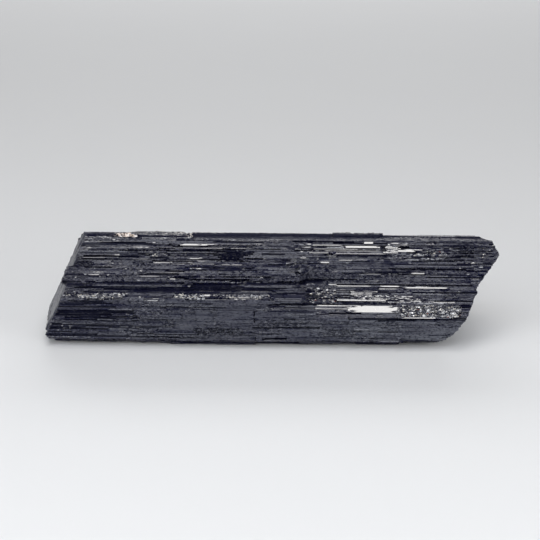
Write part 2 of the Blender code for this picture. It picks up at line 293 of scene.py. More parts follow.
CREST = on(
    "upper_head",
    ridge_left=Mark(0.72, 1.06, -63.5, -42.8, 0.55, 103, 0.35, 1.2, ragged=1, spread=4),
    peach_patch=Mark(0.36, 1, -50.2, -43.6, 0.35, 60, 0.22, 5, pale=0.6, warm=0.7, ragged=0.4,
        gloss=0.9),
    cream_strip=Mark(0.38, 1.05, -42.6, -26.8, 0.75, 82, 0.34, 2.2, pale=0.34, warm=0.3, ragged=1.8,
        spread=5),
    cream_end=Mark(0.55, 1.05, -34, -27, 0.75, 82, 0.34, 1.5, pale=0.42, warm=0.2, ragged=1.8,
        spread=3),
    tick=Mark(0.2, 1, -26.4, -25.4, 0.5, 56, 0.2, 0.4, pale=0.6),
    rib=Mark(0.68, 1, -25.3, 20.3, 0.92, 101, 0.3, 1.5, flat=True, spread=2, painted_shade=0.08),
    rib_front=Mark(0.05, 0.66, -25.3, 36.4, 0, 84, 0.45, 2, ragged=1, spread=7),
    knob_left=Mark(0.78, 1.08, 20.6, 26.8, 1, 92, 0.45, 2, ragged=0.5, spread=4, painted_shade=0.1),
    knob_right=Mark(0.78, 1.08, 27.3, 35.9, 0.9, 92, 0.45, 2, ragged=0.7, spread=4, painted_shade=0.1),
    grey_facet=Mark(0.76, 1, 36.5, 74, 0.43, 86, 0.3, 0.6, spread=3),
    front_right=Mark(0.05, 0.74, 36.5, 73, 0.15, 86, 0.42, 2, ragged=1.5, spread=7),
    dark_stripe=Mark(-0.07, 0.03, 57, 70, -0.35, 20, 0.2, 0.5, ragged=2, spread=4, painted_shade=0.35),
)
UPPER_LEFT = on(
    "recess_head",
    left_groove=Mark(0.62, 0.645, -60.3, -41.8, -1.1, 18, 0.2, flat=True, painted_shade=0.88),
    left_line=streak(0.57, 0.575, -60.2, -53.1, 0, rough=0.15),
    square_pit=Mark(0.84, 0.92, -32.9, -31.6, -1.2, painted_shade=0.8),
    streak_high=streak(0.87, 0.9, -30, -18.6, 0.8, level=0.15, rough=0.15, chips=0.1, ragged=1.5),
    streak_low=streak(0.79, 0.83, -28, -14.4, 0.3, facing=52, rough=0.25, chips=0.1, ragged=1.5),
    crumbly_patch=Mark(0.6, 0.73, -38.6, -33.4, -0.1, 46, 0.35, 4, pale=0.24, ragged=0.8, spread=7),
    line=streak(0.445, 0.455, -38.1, -32, 0.5, rough=0.15),
    low_line=streak(0.135, 0.14, -41.5, -34.8, 0.3, rough=0.2),
    low_dot=streak(0.095, 0.1, -31.8, -30, 0.5, rough=0.2),
    broken_corner=Mark(-0.6, 0.39, -66.5, -57.6, None, 30, 0.35, 4, ragged=1.5, spread=12),
    deep_pit=Mark(0.5, 0.8, -17.8, -8, -1.4, 18, 0.15, 2, flat=True, ragged=1.8, spread=6,
        painted_shade=0.62),
    pit_line=streak(0.42, 0.43, -15.5, -8.4, 0.2, rough=0.14),
    low_pit=Mark(0.19, 0.38, -15.4, -8.7, -0.7, 19, 0.2, 0.8, ragged=0.8, spread=5, painted_shade=0.25),
    black_line=Mark(0.08, 0.11, -28.5, -5, -1.1, ragged=1.5, painted_shade=0.8),
    middle_end=Mark(0.22, 0.44, 8.6, 9.6, -0.9, painted_shade=0.5),
)
RECESS = on(
    "shelf_back",
    high=Mark(0.62, 1.015, -57, -27, -0.9, 30, 0.22, 0.8, ragged=2.5, spread=5),
    high_right=Mark(0.62, 1.015, -27, -9, -1.2, 18, 0.2, 0.2, ragged=2.5, spread=3, painted_shade=0.3),
    high_end=Mark(0.62, 1.03, -9, 11, -0.7, 32, 0.22, 0.6, ragged=2.5, spread=6),
    low=Mark(0.18, 0.62, -60, 4, -0.8, 18, 0.2, 0.3, ragged=3.5, spread=3.5, painted_shade=0.7),
    floor=Mark(0, 0.18, -58, 6, -0.5, 22, 0.22, 0.3, ragged=2.5, spread=5, painted_shade=0.25),
    eye=Mark(1.01, 1.06, 6.8, 11.6, -0.9, painted_shade=0.6),
)
UPPER_RIGHT = on(
    "recess_head",
    right_pale_zone=Mark(0.71, 0.93, 10.5, 36.4, None, 42, 0.24, 1, ragged=3, gloss=0.45, spread=3.5),
    right_far_zone=Mark(0.62, 0.88, 38, 58, None, 43, 0.26, 2, ragged=3, gloss=0.42, spread=5),
    right_streak_high=streak(0.905, 0.925, 11.5, 24.4, 0.6, level=0.15, chips=0.1, ragged=1.2),
    right_streak=streak(0.83, 0.84, 10.5, 30, 0.45, level=0.15, chips=0.1, ragged=1.2),
    right_streak_low=streak(0.735, 0.745, 14, 35, 0.5, facing=53, rough=0.2, chips=0.1, ragged=1.2),
    right_streak_mid=streak(0.785, 0.8, 19, 36, 0.5, facing=53, rough=0.2, chips=0.1, ragged=1.2),
    white_bar=streak(0.955, 0.995, 30.2, 33.5, 1, level=0.15, rough=0.15),
    white_strip=streak(0.86, 0.9, 24.4, 36.4, 0.9, level=0.2, rough=0.14, chips=0.1, ragged=0.8),
    dark_break=Mark(0.76, 0.93, 36.6, 37.3, -1.1, painted_shade=0.7),
    bright_patch=Mark(0.76, 0.95, 37.8, 42.2, 0.15, 54, 0.2, 0.4, pale=0.3, ragged=0.6, gloss=1,
        spread=1),
    patch_top=Mark(0.9, 0.98, 38, 45.5, 0.1, 51, 0.24, 1, pale=0.14, ragged=1, gloss=0.6, spread=4),
    ring=Mark(0.755, 0.815, 50.9, 52.6, 0.15, 54, 0.2, 1, pale=0.4, ragged=0.2, gloss=0.9, spread=1.5),
    flakes=Mark(0.7, 0.74, 44.5, 56, 0.1, 52, 0.24, 2, pale=0.1, ragged=1, gloss=0.45, spread=5),
    white_bar_low=streak(0.79, 0.84, 41.8, 47.6, 0.9, rough=0.14, ragged=1),
    dark_oval=Mark(0.87, 0.91, 41.8, 45.1, -0.9, painted_shade=0.93),
    right_slot=Mark(0.775, 0.785, 46, 62, -0.5, 15, ragged=2, painted_shade=0.5),
    line_a=streak(0.6, 0.61, 22.8, 26.7, 0.5),
    line_b=streak(0.32, 0.33, 30.9, 36.1, 0.35, rough=0.2),
    line_c=streak(0.34, 0.35, 45.7, 50.8, 0.6),
    foot_groove=Mark(0.11, 0.13, 17.5, 66, -0.8, painted_shade=0.6),
    foot_line_left=streak(0.065, 0.075, 20, 33.5, 0.55, ragged=1),
    foot_line_high=streak(0.095, 0.1, 15.8, 23, 0.45, ragged=1),
    foot_dashes=streak(0.06, 0.09, 35.6, 42.2, 0.9, level=0.15, rough=0.12, ragged=0.8),
    foot_line_right=streak(0.06, 0.07, 42.8, 58.2, 0.75, level=0.15, rough=0.12),
    corner_sparkle=Mark(0.6, 1, 66, 73.4, None, None, 0.3, 2.2),
)
SHELF = on(
    "lower_head",
    crumbs_far_left=Mark(0.26, 1.2, -66.5, -62.3, -0.1, 34, 0.3, 4, pale=0.08, gloss=0.6, spread=11),
    crumbs_left=Mark(0.14, 1.05, -61.6, -46.1, -0.1, 32, 0.3, 4, pale=0.06, gloss=0.6, spread=12),
    plain=Mark(0, 1.02, -45, -31, None, 32, 0.3, 1, spread=9),
    crumbs_middle=Mark(0.14, 0.9, -30.3, -20.4, -0.1, 34, 0.3, 4, pale=0.06, gloss=0.6, spread=11),
    crumbs_right=Mark(0.23, 1.05, -14, 0.4, -0.1, 32, 0.3, 4, pale=0.06, gloss=0.5, spread=11),
    edge_line=streak(0.28, 0.33, -13, -1.5, 0.5, rough=0.2, chips=0.5, ragged=1),
    foot_line=Mark(0.1, 0.18, -5, 12, -0.4, 18, 0.2, 0, ragged=2, painted_shade=0.8),
    dark_end=Mark(0, 1.3, 0.8, 11.5, None, 19, 0.2, 0.8, ragged=1.5, spread=4, painted_shade=0.25),
)
SLOPE_HIGH = on(
    "shelf_back",
    pale_zone=Mark(0.1, 1, 18, 58, None, 41, 0.26, 1.2, ragged=3, gloss=0.33, spread=3.5),
    patch=Mark(0.06, 1.1, 11.7, 21.3, -0.2, 46, 0.35, 4, pale=0.14, gloss=0.5, spread=4),
    lavender_facet=Mark(0.62, 1, 26.8, 33, 0.1, 54, 0.24, 0.4, ragged=1.5, gloss=0.8, spread=1.5),
    white_left=Mark(0.36, 0.62, 27.8, 32.8, 0.1, 54, 0.18, 1.2, pale=0.35, ragged=0.8, gloss=1),
    white_right=Mark(0.36, 0.62, 33.3, 40.6, 0.1, 54, 0.18, 1.2, pale=0.35, ragged=0.8, gloss=1),
    strip=streak(0.25, 0.34, 22.9, 37, 0.8, facing=54, rough=0.18, chips=0.2, ragged=1),
    foot_gap=Mark(0.31, 0.36, 11.5, 20, -0.4, 18, 0.2, 0, ragged=1, painted_shade=0.8),
    lavender_strip=streak(0.06, 0.24, 45.8, 57.2, 0.6, facing=54, rough=0.28, chips=0.4, ragged=1.5),
    high_streak=Mark(0.88, 1.03, 33.5, 44, 0.1, 52, 0.26, 0.6, ragged=2, gloss=0.4, spread=3),
    middle_zone=Mark(0.1, 0.52, 38.5, 49, 0, 53, 0.26, 2, pale=0.16, ragged=1.5, gloss=0.8,
        spread=3),
    start=Mark(-1, 0, 3, 17, None, 30, 0.28, 1.2, ragged=2, spread=6),
    white_dash=Mark(0.42, 0.58, 40.6, 46.4, 0.1, 54, 0.18, 1, pale=0.2, ragged=0.4, gloss=1),
)
SLOPE_LOW = on(
    "lower_head",
    glint=streak(0.4, 0.9, 24.4, 42.4, 1, level=0.3, rough=0.12, pale=0.25, ragged=0.5),
    line_high=streak(0.86, 0.93, 15.8, 24.6, 0.6, facing=54, level=0.15, chips=0.2, ragged=1.5),
    line_low=streak(0.7, 0.74, 16, 24.6, 0.5, facing=53, level=0.15, rough=0.18, chips=0.2, ragged=1),
    foot_line=streak(0.24, 0.28, 13.6, 29, 0.2, facing=51, level=0.15, rough=0.2, chips=0.2, ragged=1.5),
    sparkle_band=Mark(0.15, 1, 42.2, 61.4, -0.2, 50, 0.32, 4.5, pale=0.03, gloss=0.8, spread=4),
    edge_line=streak(0.07, 0.15, 42.2, 54.9, 0.6, level=0.2, rough=0.2, chips=0.3, pale=0.1),
)
LOWER = on(
    "lower_foot",
    edge_line=Mark(0.97, 1.08, -40.2, -35.4, 0.2, GLINT, 0.16, 0, gloss=0.4),
    line_high=streak(0.88, 0.91, -33.8, -25.1, 0.35, facing=52, level=0.05, rough=0.22),
    line_low=streak(0.73, 0.76, -32.6, -28.4, 0.35, facing=52, level=0.05, rough=0.22),
    left_dark=Mark(0.48, 0.74, -67, -49, -0.4, 18, 0.2, 0.4, ragged=5, spread=3, painted_shade=0.6),
    left_dark_high=Mark(0.86, 0.97, -69, -57, -0.3, 18, 0.2, 0.4, ragged=5, spread=4, painted_shade=0.2),
    break_high=Mark(0.46, 0.76, -4.75, -4.35, -0.5, 18, 0.2, 0, ragged=0.12, painted_shade=0.6),
    break_low=Mark(0, 0.1, -4.5, -4.1, -0.5, 20, ragged=0.1, painted_shade=0.6),
    right_black_line=Mark(0.92, 0.95, 35.1, 47.3, -1, 16, painted_shade=0.7),
    right_dashes=Mark(0.4, 0.42, 26.9, 30.1, -0.6, 18, painted_shade=0.6),
    right_dash_low=Mark(0.18, 0.2, 18, 27, -0.4, 18, ragged=1.5, painted_shade=0.5),
    right_pits=Mark(0.12, 0.17, 33, 39.8, -0.6, 16, None, 3, ragged=2, spread=9, painted_shade=0.4),
    right_streaks=Mark(0.64, 0.73, 18.2, 27.8, 0.1, 12, 0.3, 0.4),
    foot_groove=Mark(0.04, 0.055, -90, -12, -0.8, 17, ragged=3, painted_shade=0.5),
    foot_notch=Mark(-0.1, 0.055, -1.4, 6, -0.9, 18, None, 0, ragged=0.5, painted_shade=0.85),
)
MARKS = CREST + UPPER_LEFT + RECESS + UPPER_RIGHT + SHELF + SLOPE_HIGH + SLOPE_LOW + LOWER


def section_point(section, place):
    """The (y, z) of a place round a section."""
    corners = np.array([section[name] for name in CORNERS])
    start = int(place) % len(CORNERS)
    share = place - int(place)
    return corners[start] * (1 - share) + corners[(start + 1) % len(CORNERS)] * share


def distance_between(section, low, high):
    """The distance between two places of a section."""
    return np.linalg.norm(section_point(section, high) - section_point(section, low))


def place_at_height(section, z):
    """The place on the front of a section, from the foot to the crest, that is at this height."""
    front = range(CORNERS.index(FRONT_FROM), CORNERS.index(FRONT_TO) + 1)
    return float(np.interp(z, [section[CORNERS[i]][1] for i in front], list(front)))


class Strip(NamedTuple):
    """A growth strip: the places of its lower and upper edge on the left section and on the right one."""
    low: tuple
    high: tuple
    low_gap: float
    high_gap: float


def divided(start, end, width):
    """Places from start to end for strips of about this width, given as a share of one unit of place."""
    count = max(1, round((end - start) / width))
    widths = rng.uniform(1 - STRIP_WIDTH_SPREAD, 1 + STRIP_WIDTH_SPREAD, count)
    return start + (end - start) * np.concatenate(([0.0], np.cumsum(widths))) / widths.sum()


def front_strips():
    """The strips of the front, which run level from the left section to the right one."""
    names = CORNERS[CORNERS.index(FRONT_FROM):CORNERS.index(FRONT_TO) + 1]
    heights = sorted({section[name][1] for section in SECTIONS for name in names})
    found = []
    for low, high in zip(heights, heights[1:]):
        runs = [distance_between(s, place_at_height(s, low), place_at_height(s, high)) for s in SECTIONS]
        edges = divided(low, high, FRONT_STRIP_WIDTH * (high - low) / max(runs))
        for start, end in zip(edges, edges[1:]):
            gaps = [BEVEL if edge in (low, high) else WALL / 2 for edge in (start, end)]
            places = [tuple(place_at_height(s, z) for s in SECTIONS) for z in (start, end)]
            found.append(Strip(*places, *gaps))
    return found


def side_strips(name):
    """The strips of one of the other sides, which is the same all along the crystal."""
    index = CORNERS.index(name)
    edges = divided(index, index + 1, STRIP_WIDTH[name] / distance_between(SECTION_LEFT, index, index + 1))
    return [Strip((low, low), (high, high), BEVEL if low == edges[0] else WALL / 2,
                  BEVEL if high == edges[-1] else WALL / 2) for low, high in zip(edges, edges[1:])]


def plane_x(plane, y, z):
    """The x of a plane at (y, z)."""
    (px, py, pz), (nx, ny, nz) = plane
    return px + (ny * (py - y) + nz * (pz - z)) / nx


def facets(count, slope, depth):
    """A broken surface, as a function of y and z: each point takes the tilted plane of its nearest seed."""
    seeds = rng.uniform(FACETS_FROM, FACETS_TO, (count, 2))
    slopes = rng.normal(0.0, slope, (count, 2))
    depths = rng.uniform(0.0, depth, count)

    def relief(y, z):
        away = np.stack((np.asarray(y)[..., None] - seeds[:, 0], np.asarray(z)[..., None] - seeds[:, 1]), -1)
        nearest = np.argmin((away ** 2).sum(-1), axis=-1)
        offset = np.take_along_axis(away, nearest[..., None, None], axis=-2)[..., 0, :]
        return np.clip(depths[nearest] + (offset * slopes[nearest]).sum(-1), 0.0, None)

    return relief


left_relief = facets(*LEFT_FACETS)
right_relief = facets(*RIGHT_FACETS)


def left_end(y, z):
    """The x of the left end's broken surface."""
    return np.max([plane_x(plane, y, z) for plane in LEFT_PLANES.values()], axis=0) + left_relief(y, z)


def right_end(y, z):
    """The x of the right end's broken surface."""
    upper, lower = plane_x(RIGHT_UPPER_BREAK, y, z), plane_x(RIGHT_LOWER_BREAK, y, z)
    breaks = np.where(z > RIGHT_BREAKS_MEET, upper, lower)
    others = np.min([plane_x(plane, y, z) for plane in RIGHT_PLANES.values()], axis=0)
    return np.minimum(breaks, others) - right_relief(y, z)


def stretches(lengths):
    """Where the stretches of a strip end, at random along the whole crystal."""
    ends = [-REACH + rng.uniform(*lengths)]
    while ends[-1] < REACH:
        ends.append(ends[-1] + rng.uniform(*lengths))
    return np.array(ends)


def levels_of(distances, kind):
    """For each strip, its (ends of the stretches, level of each). Groups of neighbours share them."""
    group_width, lengths, spread = kind
    found = []
    reach = -1.0
    for distance in distances:
        if distance >= reach:
            reach = distance + group_width * rng.uniform(*GROUP_WIDTH_SPREAD)
            ends = stretches(lengths)
            levels = rng.normal(0.0, spread, len(ends) + 1)
        found.append((ends + rng.normal(0.0, BREAK_JITTER, len(ends)) * (group_width > 0), levels))
    return found


def spread_over(x, ends, values):
    """The value at each x, where the stretches end at these places and have these values."""
    return values[np.searchsorted(ends, x)]


def snapped(columns, breaks):
    """The columns, with the two either side of each break moved up to it, so that the step is sharp."""
    moved = columns.copy()
    for place in np.sort(breaks):
        after = np.searchsorted(columns, place)
        if 2 <= after <= len(columns) - 3:
            moved[after - 1] = place - WALL
            moved[after] = place + WALL
    return np.maximum.accumulate(moved)


def wave(x, length, size):
    """A smooth random wave along x."""
    knots = rng.normal(0.0, size, int(2 * WAVE_REACH / length) + 3)
    return np.interp(x, np.arange(len(knots)) * length - WAVE_REACH, knots)


strips = side_strips("rest_front") + front_strips()
for name in CORNERS[CORNERS.index(FRONT_TO):]:
    strips += side_strips(name)
middles = [(section_point(SECTION_LEFT, s.low[0]) + section_point(SECTION_LEFT, s.high[0])) / 2
           for s in strips]
distances = np.concatenate(([0.0], np.cumsum(np.linalg.norm(np.diff(middles, axis=0), axis=1))))
kinds = [levels_of(distances, kind) for kind in (PLATES, RIBS, SINGLES)]
patches = levels_of(distances, PATCHES)
changes = levels_of(distances, CHANGES)


def ends_of(places, left_middle, right_middle):
    """Where a strip starts and ends along x: at the broken ends, standing back or jutting out there."""
    back = np.abs(rng.normal(0.0, END_RAGGED)) * (rng.random(2) < RAGGED_SHARE)
    back[0] -= LEFT_JUT * (LEFT_JUT_PLACES[0] < places[0] < LEFT_JUT_PLACES[1])
    back[1] -= RIGHT_JUT * (RIGHT_JUT_PLACES[0] < places[1] < RIGHT_JUT_PLACES[1])
    return left_end(*left_middle) + back[0], right_end(*right_middle) - back[1]


def change_of(number, places):
    """Where a strip starts to change from the left section to the right one, and over what length."""
    if places[0] < CORNERS.index(FRONT_FROM):
        return FOOT_STEP_AT, FOOT_STEP_LENGTH
    draws = changes[number][1]
    share = abs(math.sin(CHANGE_FOLDS * draws[0]))
    length = CHANGE_LENGTH[0] + (CHANGE_LENGTH[1] - CHANGE_LENGTH[0]) * share
    start = (CHANGE_FROM + CHANGE_TO - length) / 2 + CHANGE_SPREAD * draws[1]
    return np.clip(start, CHANGE_FROM, CHANGE_TO - length), length


def marks_near(strip, places):
    """The marks that a strip runs through, with their ends moved at random."""
    found = []
    for mark in MARKS:
        centre = (mark.low + mark.high) / 2
        if (any(mark.low <= place <= mark.high for place in places)
                or any(low <= centre < high for low, high in zip(strip.low, strip.high))):
            found.append(mark._replace(x_from=mark.x_from + rng.normal(0.0, mark.ragged),
                                       x_to=mark.x_to + rng.normal(0.0, mark.ragged)))
    return found


class Course(NamedTuple):
    """A strip at each of its columns: its middle's and edges' places, its width and where it faces."""
    x: np.ndarray
    place: np.ndarray
    low_place: np.ndarray
    high_place: np.ndarray
    width: np.ndarray
    facing: np.ndarray
    is_right: np.ndarray
    tilt_draw: np.ndarray


# What the surface is like, as attributes that the material reads. The last one is an amount of painted shade.
FINISH = ("rough", "chips", "pale", "warm", "grain", "gloss", "wear", "painted_shade")


def add_areas(course, look, rough_draw):
    """Give each column the look of the area that it lies in."""
    shifted = course.x + rng.normal(0.0, AREA_RAGGED)
    for area in AREAS:
        inside = ((area.low <= course.place) & (course.place <= area.high)
                  & (shifted >= area.x_from) & (shifted <= area.x_to))
        look["tilt"][inside] = area.tilt + area.spread * course.tilt_draw[inside]
        look["rough"][inside] = area.rough + rough_draw[inside]
        for name in ("chips", "relief", "wear", "grooved"):
            look[name][inside] = getattr(area, name)
    is_fresh = np.abs(course.facing + look["tilt"] - GLINT) < FRESH_WITHIN
    look["gloss"] = np.where(is_fresh, FRESH_GLOSS, 0.0)


def add_grooves(course, look, ends, depths):
    """Sink the stretches of a strip that are grooves, give the dark ones painted shade, and limit how far the
    rest tilts.
    """
    is_cut = spread_over(course.x, ends, rng.random(len(depths))) < look["grooved"]
    depth = spread_over(course.x, ends, depths) * is_cut
    look["level"] = (look["level"] - depth) * look["relief"]
    is_dark = (depth > 0) & (course.facing > GROOVE_SIDES[0]) & (course.facing < GROOVE_SIDES[1])
    steep = GROOVE_FACING - course.facing + GROOVE_TURN * course.tilt_draw
    most = np.where(course.place < CORNERS.index("lower_head"), STEEPEST_LOW - course.facing, MOST_TILT)
    look["tilt"] = np.minimum(np.where(is_dark, steep, look["tilt"]), most)
    look["grain"][is_dark] = DARK_GRAIN
    painted_shade = GROOVE_SHADE * rng.uniform(0.0, 1.0, len(depths)) ** SHADE_CONTRAST
    look["painted_shade"] = np.where(is_dark, spread_over(course.x, ends, painted_shade), look["painted_shade"])


def add_flecks(course, look):
    """Turn short stretches of a strip so that they mirror the overhead light."""
    ends = stretches(FLECKS)
    is_there = rng.random(len(ends) + 1) < FLECK_SHARE
    facing = rng.uniform(*FLECK_FACING, len(ends) + 1)
    gloss = rng.uniform(*FLECK_GLOSS, len(ends) + 1)
    is_fleck = (spread_over(course.x, ends, is_there)
                & (course.facing > FLECK_SIDES[0]) & (course.facing < FLECK_SIDES[1]))
    look["tilt"] = np.where(is_fleck, spread_over(course.x, ends, facing) - course.facing, look["tilt"])
    look["gloss"] = np.where(is_fleck, spread_over(course.x, ends, gloss), look["gloss"])
    look["grain"][is_fleck] = FLECK_GRAIN


def add_mark(course, look, mark):
    """Give the columns that a mark covers its level, its facing, its finish and its painted shade."""
    x, place = course.x, course.place
    centre = (mark.low + mark.high) / 2
    inside = (x >= mark.x_from) & (x <= mark.x_to) & (
        (mark.low <= place) & (place <= mark.high)
        | (course.low_place <= centre) & (centre < course.high_place))
    is_changing = CHANGING[0] <= mark.low <= mark.high <= CHANGING[1]
    if is_changing and (mark.x_from + mark.x_to) / 2 < CHANGE_MIDDLE - LEFT_OF_CHANGE:
        inside &= ~course.is_right
    is_glint = mark.facing == GLINT and mark.flat
    if mark.facing is not None:
        look["tilt"][inside] = mark.facing - course.facing[inside] + mark.spread * course.tilt_draw[inside]
        if is_glint:
            from_middle = np.abs(2 * (x[inside] - mark.x_from) / (mark.x_to - mark.x_from) - 1)
            look["tilt"][inside] -= END_TURN * from_middle ** 4
            look["grain"][inside] = GLINT_GRAIN
        elif DARK_FACING[0] <= mark.facing <= DARK_FACING[1]:
            look["grain"][inside] = DARK_GRAIN
        elif mark.facing > BRIGHT_FACING:
            look["grain"][inside] = BRIGHT_GRAIN
    if mark.level is not None:
        look["level"][inside] = mark.level
        if mark.flat:
            span = (course.high_place - course.low_place)[inside]
            away = (place[inside] - centre) / span * course.width[inside]
            look["level"][inside] -= away * np.tan(np.radians(look["tilt"][inside]))
    look["gloss"][inside] = 1.0 if mark.facing == GLINT else 0.0
    look["painted_shade"][inside] = mark.painted_shade
    for name in ("rough", "chips", "pale", "warm", "gloss"):
        if getattr(mark, name) is not None:
            look[name][inside] = getattr(mark, name)


# Near the section's corners the strips are held back, so that they don't run through each other. For
# each millimetre from the concave corner an edge may rise by CONCAVE_SLOPE. For each one from the
# nearest other corner it may sink by CONVEX_SLOPE, and by CONVEX_DEPTH besides.
CONCAVE_SLOPE, CONVEX_SLOPE, CONVEX_DEPTH = 1.2, 2.0, 0.05


def edge_height(look, width, side, gap, from_corners):
    """How high an edge of a strip stands over the section. Side is -1 for the lower edge, 1 for the upper."""
    slope = np.tan(np.radians(np.clip(look["tilt"], -MOST_TILT, MOST_TILT)))
    height = (look["level"] - side * slope * (width / 2 - gap)
              + rng.normal(0.0, CHIP_SIZE, len(width)) * look["chips"])
    concave = CORNERS.index(CONCAVE_CORNER)
    height = np.minimum(height, from_corners[:, concave] * CONCAVE_SLOPE)
    nearest = np.delete(from_corners, concave, axis=1).min(axis=1)
    return np.maximum(height, -nearest * CONVEX_SLOPE - CONVEX_DEPTH)


rows = []
finish = {name: [] for name in FINISH}
for number, strip in enumerate(strips):
    places = [(low + high) / 2 for low, high in zip(strip.low, strip.high)]
    low_ends = [section_point(s, place) for s, place in zip(SECTIONS, strip.low)]
    high_ends = [section_point(s, place) for s, place in zip(SECTIONS, strip.high)]
    left_middle, right_middle = (np.array(low_ends) + np.array(high_ends)) / 2
    start, end = ends_of(places, left_middle, right_middle)
    change_from, change_length = change_of(number, places)
    tilt_ends = stretches(TILT_STRETCHES)
    near = marks_near(strip, places)
    groove_ends = stretches(GROOVE_STRETCHES)
    depths = (rng.uniform(*GROOVE_DEPTH, len(groove_ends) + 1)
              * (rng.random(len(groove_ends) + 1) < GROOVE_SHARE))
    breaks = np.concatenate([kind[number][0] for kind in kinds] + [tilt_ends, groove_ends]
                            + [(mark.x_from, mark.x_to) for mark in near])
    x = snapped(np.linspace(start, end, COLUMNS), breaks)

    share = np.clip((x - change_from) / change_length, 0.0, 1.0)[:, None]
    low_edge = low_ends[0] * (1 - share) + low_ends[1] * share
    high_edge = high_ends[0] * (1 - share) + high_ends[1] * share
    width = np.linalg.norm(high_edge - low_edge, axis=1)
    along = (high_edge - low_edge) / width[:, None]
    normal = np.stack((-along[:, 1], along[:, 0]), axis=-1)
    facing = np.degrees(np.arctan2(normal[:, 1], -normal[:, 0]))
    is_right = x > change_from + change_length / 2
    place, low_place, high_place = (
        np.where(is_right, right, left) for left, right in (places, strip.low, strip.high))
    tilt_draws = rng.normal(0.0, 1.0, len(tilt_ends) + 1)
    tilt_draws *= np.where(rng.random(len(tilt_draws)) < STEEP_SHARE, STEEP_SPREAD, 1.0)
    rough_draws = rng.normal(0.0, ROUGH_SPREAD, len(tilt_ends) + 1)
    course = Course(x, place, low_place, high_place, width, facing, is_right,
                    spread_over(x, tilt_ends, tilt_draws))

    look = {name: np.zeros_like(x) for name in ("tilt", "relief", "grooved", *FINISH)}
    look["grain"] += 1.0
    look["level"] = sum(spread_over(x, *kind[number]) for kind in kinds)
    add_areas(course, look, spread_over(x, tilt_ends, rough_draws))
    add_grooves(course, look, groove_ends, depths)
    add_flecks(course, look)
    look["chips"] *= np.abs(spread_over(x, *patches[number])) ** CHIP_CONTRAST * CHIP_GAIN
    for mark in near:
        add_mark(course, look, mark)
    look["level"] += wave(x, *WAVE) * look["grain"]

    share = share[:, :, None]
    corners = (np.array(list(SECTION_LEFT.values())) * (1 - share)
               + np.array(list(SECTION_RIGHT.values())) * share)
    for side, base, gap in ((-1, low_edge, strip.low_gap), (1, high_edge, strip.high_gap)):
        gap = np.minimum(gap, width * MOST_GAP)
        point = base - side * along * gap[:, None]
        height = edge_height(look, width, side, gap, np.linalg.norm(corners - point[:, None, :], axis=-1))
        if places[0] >= CORNERS.index(RESTING_SIDE):
            is_flat = places[0] < len(CORNERS) - LIP_SHARE
            height = np.minimum(height - RESTING_PLAY, 0.0) + point[:, 1] * is_flat
        rows.append(np.column_stack((x, point + normal * height[:, None])))
        for name in FINISH:
            finish[name].append(look[name])

grid = np.array(rows)
grid[..., 0] += CENTRING[0]
grid[..., 1] += CENTRING[1]
grid *= MM
grid = np.clip(grid, np.array(cad_low), np.array(cad_high))
n_rows, n_columns = grid.shape[:2]
vertices = grid.reshape(-1, 3)
row, column = np.meshgrid(np.arange(n_rows), np.arange(n_columns - 1), indexing="ij")
after = (row + 1) % n_rows
quads = np.stack((row * n_columns + column, row * n_columns + column + 1,
                  after * n_columns + column + 1, after * n_columns + column), axis=-1).reshape(-1, 4)


def is_within(points, outline):
    """Which of the points lie inside a closed outline."""
    start, end = outline, np.roll(outline, -1, axis=0)
    spans = (start[:, 1] > points[:, 1:]) != (end[:, 1] > points[:, 1:])
    rise = np.where(end[:, 1] == start[:, 1], 1.0, end[:, 1] - start[:, 1])
    crossing = start[:, 0] + (points[:, 1:] - start[:, 1]) / rise * (end[:, 0] - start[:, 0])
    return (spans & (points[:, :1] < crossing)).sum(axis=1) % 2 == 1


def cap(column_index, end_x, outward, inset):
    """The broken face at one end: points inside the ring of row ends, joined to it by triangles."""
    ring = np.arange(n_rows) * n_columns + column_index
    outline = vertices[ring][:, 1:] / MM
    low, high = outline.min(0), outline.max(0)
    ys, zs = np.meshgrid(np.arange(low[0], high[0], CAP_SPACING), np.arange(low[1], high[1], CAP_SPACING))
    inner = np.column_stack((ys.ravel(), zs.ravel()))
    inner += rng.uniform(-CAP_JITTER, CAP_JITTER, inner.shape) * CAP_SPACING
    from_rim = np.min(np.linalg.norm(inner[:, None] - outline[None], axis=-1), axis=1)
    inner = inner[is_within(inner, outline) & (from_rim > CAP_RIM)]
    points = [Vector(p) for p in outline] + [Vector(p) for p in inner]
    edges = [(i, (i + 1) % n_rows) for i in range(n_rows)]
    found, _, faces, origins, _, _ = delaunay_2d_cdt(
        points, edges, [list(range(n_rows))], TRIANGLES_INSIDE, MERGE_DISTANCE, True)
    index, new_points = [], []
    for point, origin in zip(found, origins):
        on_ring = [o for o in origin if o < n_rows]
        if on_ring:
            index.append(ring[on_ring[0]])
            continue
        x = float(end_x(np.array(point[0] - CENTRING[1]), np.array(point[1]))) + CENTRING[0] - outward * inset
        index.append(len(vertices) + len(new_points))
        new_points.append((x * MM, point[0] * MM, point[1] * MM))
    centres = np.array([[sum(found[i][axis] for i in face) / 3 for axis in (0, 1)] for face in faces])
    inside = is_within(centres, outline)
    triangles = [[index[i] for i in face][::outward] for face, kept in zip(faces, inside) if kept]
    return new_points, triangles


left_points, left_faces = cap(0, left_end, -1, LEFT_INSET)
vertices = np.vstack((vertices, np.array(left_points)))
right_points, right_faces = cap(n_columns - 1, right_end, 1, RIGHT_INSET)
vertices = np.vstack((vertices, np.array(right_points)))

# The finish of the broken faces, and the angle above which two faces meet in a sharp edge.
BROKEN_FINISH = {"rough": 0.30, "chips": 1.2, "grain": 0.8, "wear": 0.26}
SHARP_ANGLE = math.radians(18)

